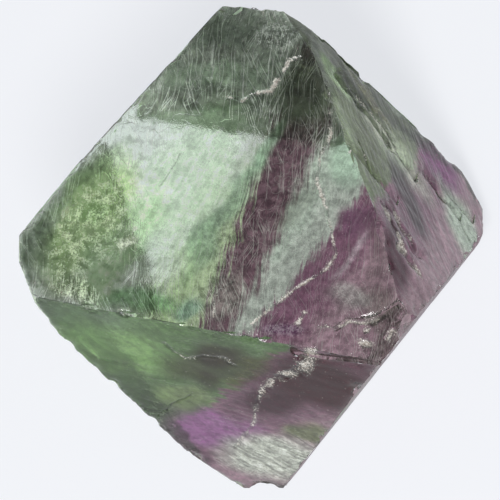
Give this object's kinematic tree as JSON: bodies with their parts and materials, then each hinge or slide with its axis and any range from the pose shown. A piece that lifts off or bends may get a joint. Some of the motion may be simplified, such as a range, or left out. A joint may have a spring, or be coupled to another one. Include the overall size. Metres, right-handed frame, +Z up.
{
  "type": "fluorite octahedron",
  "caption": "Natural colour-zoned fluorite crystal, an octahedron with broken corners and cleavage ledges, lying flat on one face for display.",
  "frame": {"origin": "centre of the crystal's box on the surface that it rests on", "axes": "+Z up, out of the upper cleavage face; +X across the crystal, along the rest face's long edge; +Y completes a right-handed frame"},
  "size_m": [0.0164, 0.0166, 0.0105],
  "materials": {
    "fluorite": "translucent, frosted cleavage, green zoned with purple"
  },
  "bodies": {
    "root": {"fluorite_crystal": "fluorite"}
  },
  "joints": []
}
